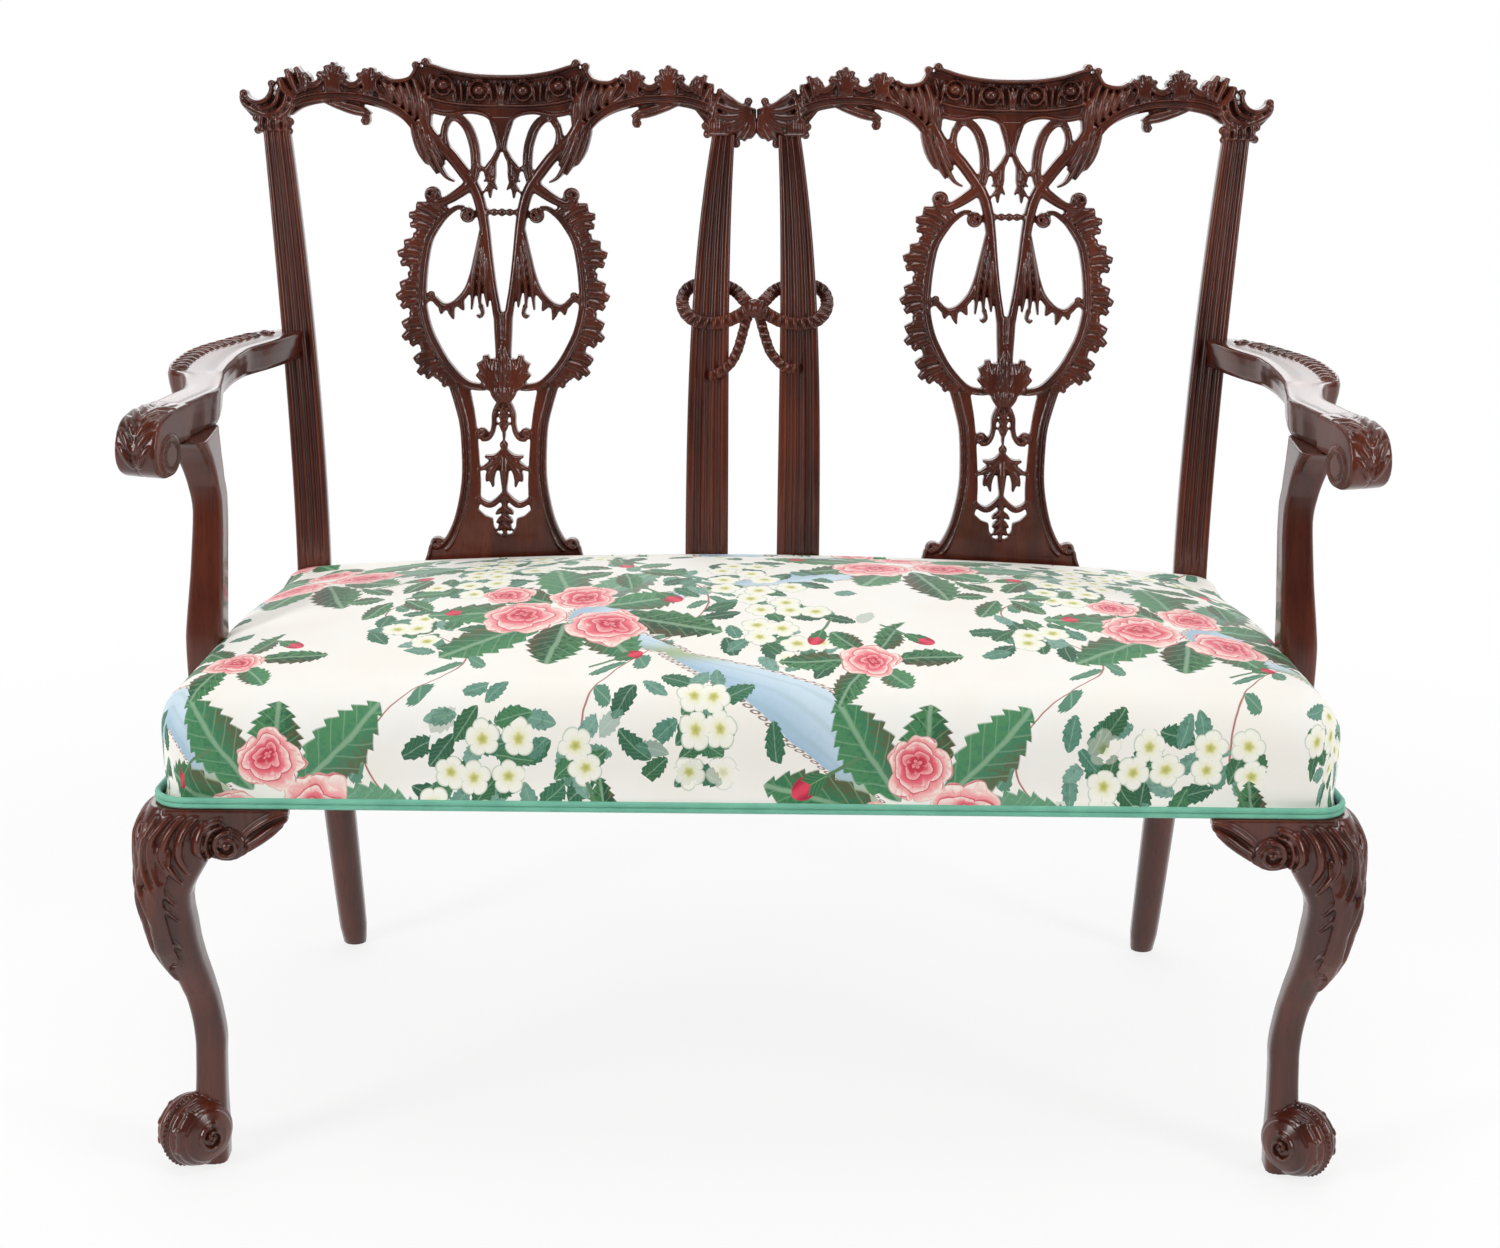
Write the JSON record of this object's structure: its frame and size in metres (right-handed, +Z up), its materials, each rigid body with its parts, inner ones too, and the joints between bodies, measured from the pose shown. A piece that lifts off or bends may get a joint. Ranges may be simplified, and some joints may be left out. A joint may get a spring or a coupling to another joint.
{
  "type": "chair-back settee",
  "caption": "Chair-back settee with pierced carved splats, a carved ribbon bow, scrolled arms, a stuffed sprung seat in floral cloth and cabriole front legs.",
  "frame": {"origin": "on the floor, below the middle of the whole settee", "axes": "+X to the right as seen from the front, +Y to the back, +Z up"},
  "size_m": [1.2434, 0.6246, 1.0358],
  "materials": {
    "carved_wood": "polished dark red-brown mahogany",
    "frame_wood": "plain planed beech",
    "steel": "plain steel",
    "webbing": "woven jute",
    "stuffing": "stuffing under undyed cotton",
    "seat_cloth": "cream cotton printed with flowers",
    "welt_cloth": "jade green cotton",
    "dust_cloth": "black cambric"
  },
  "bodies": {
    "root": {"front_leg_left": "carved_wood", "front_leg_right": "carved_wood", "knee_bracket_front_left": "carved_wood", "knee_bracket_front_right": "carved_wood", "knee_bracket_side_left": "carved_wood", "knee_bracket_side_right": "carved_wood", "rear_post_left": "carved_wood", "rear_post_right": "carved_wood", "centre_stile_left": "carved_wood", "centre_stile_right": "carved_wood", "crest_rail_left": "carved_wood", "crest_rail_right": "carved_wood", "splat_left": "carved_wood", "splat_right": "carved_wood", "splat_shoe_left": "carved_wood", "splat_shoe_right": "carved_wood", "arm_left": "carved_wood", "arm_right": "carved_wood", "arm_support_left": "carved_wood", "arm_support_right": "carved_wood", "ribbon_loop_left": "carved_wood", "ribbon_loop_right": "carved_wood", "ribbon_knot": "carved_wood", "ribbon_tail_left": "carved_wood", "ribbon_tail_right": "carved_wood", "seat_rail_left": "frame_wood", "seat_rail_right": "frame_wood", "seat_rail_front": "frame_wood", "seat_rail_rear": "carved_wood", "seat_brace": "frame_wood", "corner_block_front_left": "frame_wood", "corner_block_front_right": "frame_wood", "corner_block_rear_left": "frame_wood", "corner_block_rear_right": "frame_wood", "arm_screw_left_1": "steel", "arm_screw_left_2": "steel", "arm_screw_right_1": "steel", "arm_screw_right_2": "steel", "coil_spring_1": "steel", "coil_spring_2": "steel", "coil_spring_3": "steel", "coil_spring_4": "steel", "coil_spring_5": "steel", "coil_spring_6": "steel", "coil_spring_7": "steel", "coil_spring_8": "steel", "webbing": "webbing", "seat_stuffing": "stuffing", "seat_cover": "seat_cloth", "double_welt": "welt_cloth", "dust_cover": "dust_cloth"}
  },
  "joints": []
}
